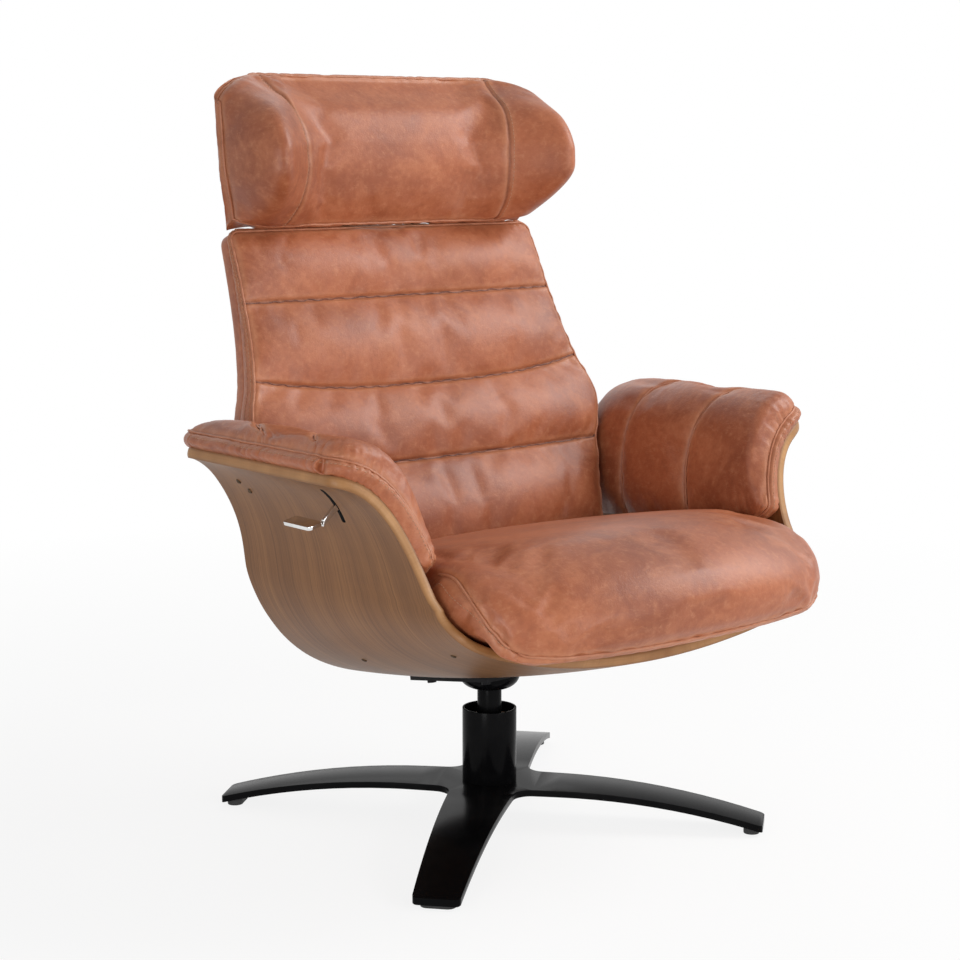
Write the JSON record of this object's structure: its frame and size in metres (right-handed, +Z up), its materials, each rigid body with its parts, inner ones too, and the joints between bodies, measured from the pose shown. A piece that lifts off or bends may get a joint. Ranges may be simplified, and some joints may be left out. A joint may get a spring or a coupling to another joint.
{
  "type": "swivel recliner",
  "caption": "Swivel recliner with a bent plywood shell, upholstered arms, sliding seat, reclining back, tilting headrest and a release lever on a star base.",
  "frame": {"origin": "On the floor, on the swivel axis.", "axes": "The chair faces -Y. +X is the right-hand side seen from in front of the chair, looking along +Y. +Z is up."},
  "size_m": [0.824, 0.7378, 1.032],
  "materials": {
    "gloss_black": "gloss black paint",
    "black_rubber": "matte rubber",
    "zinc_steel": "zinc plated",
    "nylon": "natural nylon",
    "walnut_ply": "lacquered walnut veneer",
    "tan_leather": "soft sheen, waxed",
    "black_webbing": "woven",
    "board": "raw board",
    "chrome": "polished"
  },
  "bodies": {
    "base": {"star_base": "gloss_black", "foot_glides": "black_rubber", "column_sleeve": "gloss_black", "bearing_housing": "zinc_steel", "bush_upper": "nylon", "bush_lower": "nylon", "thrust_washer": "nylon", "base_bolt": "zinc_steel", "base_washer": "zinc_steel"},
    "turntable": {"spindle": "gloss_black", "retaining_ring": "zinc_steel", "swivel_bell": "gloss_black", "mounting_plate": "gloss_black", "plate_bolts": "gloss_black", "plate_nuts": "zinc_steel", "shell": "walnut_ply", "shell_screws": "zinc_steel", "chassis": "gloss_black", "rails": "zinc_steel", "slide_stops": "black_rubber", "gas_spring_bracket": "gloss_black", "gas_spring_cylinder": "gloss_black", "arm_pad_left": "tan_leather", "arm_pad_right": "tan_leather", "rear_panel": "black_webbing", "hinge_bracket_left": "gloss_black", "hinge_bracket_right": "gloss_black", "recline_pins": "zinc_steel", "lever_bracket": "gloss_black", "lever_pin": "zinc_steel"},
    "seat": {"seat_frame": "gloss_black", "seat_runners": "zinc_steel", "seat_webbing": "black_webbing", "drive_brackets": "gloss_black", "seat_cushion": "tan_leather", "gas_spring_rod": "chrome"},
    "back": {"back_frame": "gloss_black", "drive_bar": "zinc_steel", "back_board": "board", "back_cushion": "tan_leather", "back_cover": "tan_leather", "headrest_posts": "zinc_steel", "headrest_pin": "zinc_steel"},
    "headrest": {"headrest_plate": "gloss_black", "headrest_cushion": "tan_leather"},
    "lever": {"lever_arm": "chrome", "lever_paddle": "chrome"}
  },
  "joints": [
    {"name": "swivel", "type": "hinge", "parent": "base", "child": "turntable", "pos_m": [0, 0, 0.15], "axis": [0, 0, 1], "continuous": true},
    {"name": "back_recline", "type": "hinge", "parent": "turntable", "child": "back", "pos_m": [0, 0.0806, 0.331], "axis": [-1, 0, 0], "range_deg": [0, 22]},
    {"name": "seat_slide", "type": "slide", "parent": "turntable", "child": "seat", "axis": [0, -0.9848, 0.1736], "range_m": [0, 0.032]},
    {"name": "headrest_tilt", "type": "hinge", "parent": "back", "child": "headrest", "pos_m": [0, 0.22802, 0.87201], "axis": [1, 0, 0], "range_deg": [0, 15]},
    {"name": "lever_pull", "type": "hinge", "parent": "turntable", "child": "lever", "pos_m": [-0.32003, -0.13, 0.4969], "axis": [0, 1, 0], "range_deg": [-12, 12]}
  ],
  "couplings": [
    {"joint": "seat_slide", "follows": "back_recline", "m_per_rad": 0.083}
  ]
}
